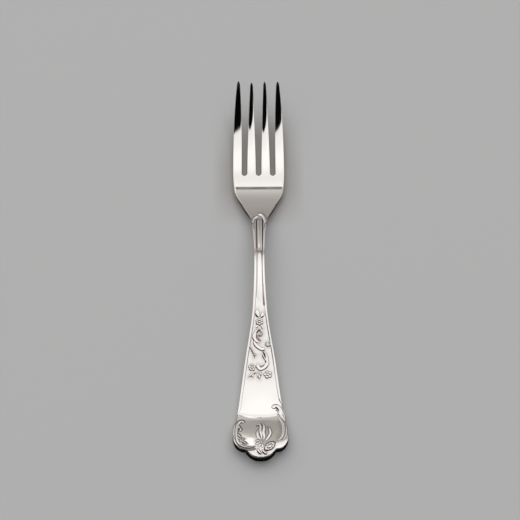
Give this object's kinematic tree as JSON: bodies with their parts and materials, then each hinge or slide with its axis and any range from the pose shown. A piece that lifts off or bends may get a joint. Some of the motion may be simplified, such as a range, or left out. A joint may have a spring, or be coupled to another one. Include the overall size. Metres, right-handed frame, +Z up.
{
  "type": "baby fork",
  "caption": "Child's table fork in polished silver: tapering tines, plain head, reeded arched stem and a flared handle with struck flower and scroll relief on a lobed, turned-up end.",
  "frame": {"origin": "on the table, under the middle of the fork's bounding box", "axes": "+Y along the fork from the handle end to the tine tips, +Z up out of the front face, +X to the right seen from the front"},
  "size_m": [0.0188, 0.1506, 0.0107],
  "materials": {
    "polished_silver": "mirror-polished silver with fine wear scratches",
    "relief_silver": "polished silver relief, slightly tarnished in its recesses"
  },
  "bodies": {
    "root": {"tine_1": "polished_silver", "tine_2": "polished_silver", "tine_3": "polished_silver", "tine_4": "polished_silver", "palm": "polished_silver", "shoulder": "polished_silver", "stem": "polished_silver", "blade": "polished_silver", "handle_end": "polished_silver", "edge_thread_left": "relief_silver", "edge_thread_right": "relief_silver", "stem_ridge": "relief_silver", "neck_scroll_left": "relief_silver", "neck_scroll_right": "relief_silver", "bud": "relief_silver", "bud_leaf": "relief_silver", "upper_flower": "relief_silver", "c_scroll": "relief_silver", "scroll_pearl": "relief_silver", "tail_scroll": "relief_silver", "side_curl": "relief_silver", "sprig": "relief_silver", "s_scroll": "relief_silver", "left_flower": "relief_silver", "spray_leaf": "relief_silver", "left_pendant": "relief_silver", "right_pendant": "relief_silver", "right_flower": "relief_silver", "end_scroll_left": "relief_silver", "end_scroll_right": "relief_silver", "plume_middle": "relief_silver", "plume_left": "relief_silver", "plume_right": "relief_silver", "plume_knot": "relief_silver", "end_rosette": "relief_silver", "foot_leaf": "relief_silver"}
  },
  "joints": []
}
